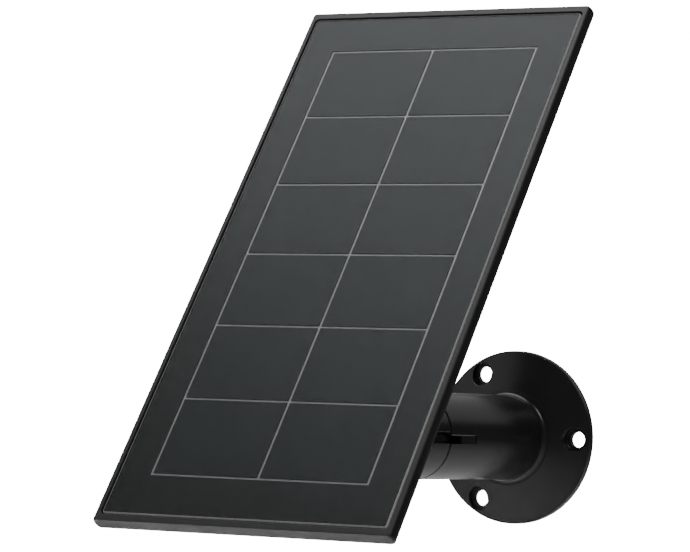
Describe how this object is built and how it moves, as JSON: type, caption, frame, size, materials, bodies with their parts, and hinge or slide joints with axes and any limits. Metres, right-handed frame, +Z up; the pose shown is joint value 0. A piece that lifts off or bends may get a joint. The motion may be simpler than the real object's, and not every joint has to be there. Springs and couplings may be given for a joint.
{
  "type": "solar charging panel on wall mount",
  "caption": "Framed solar charging panel on an adjustable wall arm: round screw flange, swivelling ball-joint head, electronics bay with cable gland behind the panel.",
  "frame": {"origin": "centre of the wall flange's back face", "axes": "+Z up, +Y into the wall along the arm's axis, +X to the right as one stands in front of the wall"},
  "size_m": [0.1081, 0.1728, 0.1669],
  "materials": {
    "black_plastic": "satin moulded",
    "frame_plastic": "fine satin moulded",
    "front_glass": "clear, low-glare",
    "solar_cell": "dark monocrystalline silicon under glass",
    "film_black": "black laminate film",
    "backing_grey": "light grey laminate",
    "black_rubber": "matte",
    "nylon": "natural nylon",
    "steel": "stainless",
    "dark_steel": "black oxide",
    "brass": "turned",
    "copper": "tinned copper strip",
    "board_green": "solder mask"
  },
  "bodies": {
    "bracket": {"wall_bracket": "black_plastic", "swivel_insert": "brass", "swivel_screw": "steel", "spring_washer": "steel", "thrust_washer": "nylon"},
    "head": {"clamp_head": "black_plastic", "seat_spring": "black_rubber", "ball_seat": "nylon"},
    "locking": {"lock_ring": "black_plastic"},
    "ball": {"pivot_ball": "black_plastic", "mount_stud": "steel"},
    "jam_nut": {"thumb_nut": "black_plastic"},
    "panel": {"front_frame": "frame_plastic", "front_sheet": "front_glass", "sheet_gasket": "black_rubber", "border_film": "film_black", "backing_sheet": "backing_grey", "solar_cell_1_1": "solar_cell", "solar_cell_1_2": "solar_cell", "solar_cell_2_1": "solar_cell", "solar_cell_2_2": "solar_cell", "solar_cell_3_1": "solar_cell", "solar_cell_3_2": "solar_cell", "solar_cell_4_1": "solar_cell", "solar_cell_4_2": "solar_cell", "solar_cell_5_1": "solar_cell", "solar_cell_5_2": "solar_cell", "solar_cell_6_1": "solar_cell", "solar_cell_6_2": "solar_cell", "rear_housing": "frame_plastic", "bay_seal": "black_rubber", "bay_screw_1": "dark_steel", "bay_screw_2": "dark_steel", "bay_screw_3": "dark_steel", "bay_screw_4": "dark_steel", "threaded_insert": "brass", "regulator_board": "board_green", "board_screw_1": "steel", "board_screw_2": "steel", "cell_tab_positive": "copper", "cell_tab_negative": "copper", "inductor": "dark_steel", "capacitor": "steel", "regulator_chip": "black_plastic", "lead_terminal": "board_green", "vent_plug": "black_rubber", "gland_body": "black_plastic", "gland_seal": "black_rubber", "gland_nut": "black_plastic"}
  },
  "joints": [
    {"name": "head_swivel", "type": "hinge", "parent": "bracket", "child": "head", "pos_m": [0, -0.068, 0], "axis": [0, -1, 0], "continuous": true},
    {"name": "lock_ring_turn", "type": "hinge", "parent": "head", "child": "locking", "pos_m": [0, -0.0933, 0], "axis": [0, -1, 0], "range_deg": [0, 120]},
    {"name": "panel_tilt", "type": "hinge", "parent": "head", "child": "ball", "pos_m": [0, -0.096, 0], "axis": [-0.9969, 0, 0.0792], "range_deg": [-81.5, 8.5]},
    {"name": "panel_spin", "type": "hinge", "parent": "ball", "child": "panel", "pos_m": [0, -0.096, 0], "axis": [0.0473, -0.8025, 0.5948], "continuous": true},
    {"name": "thumb_nut_turn", "type": "hinge", "parent": "ball", "child": "jam_nut", "pos_m": [0, -0.096, 0], "axis": [0.0473, -0.8025, 0.5948], "range_deg": [0, 360]}
  ]
}
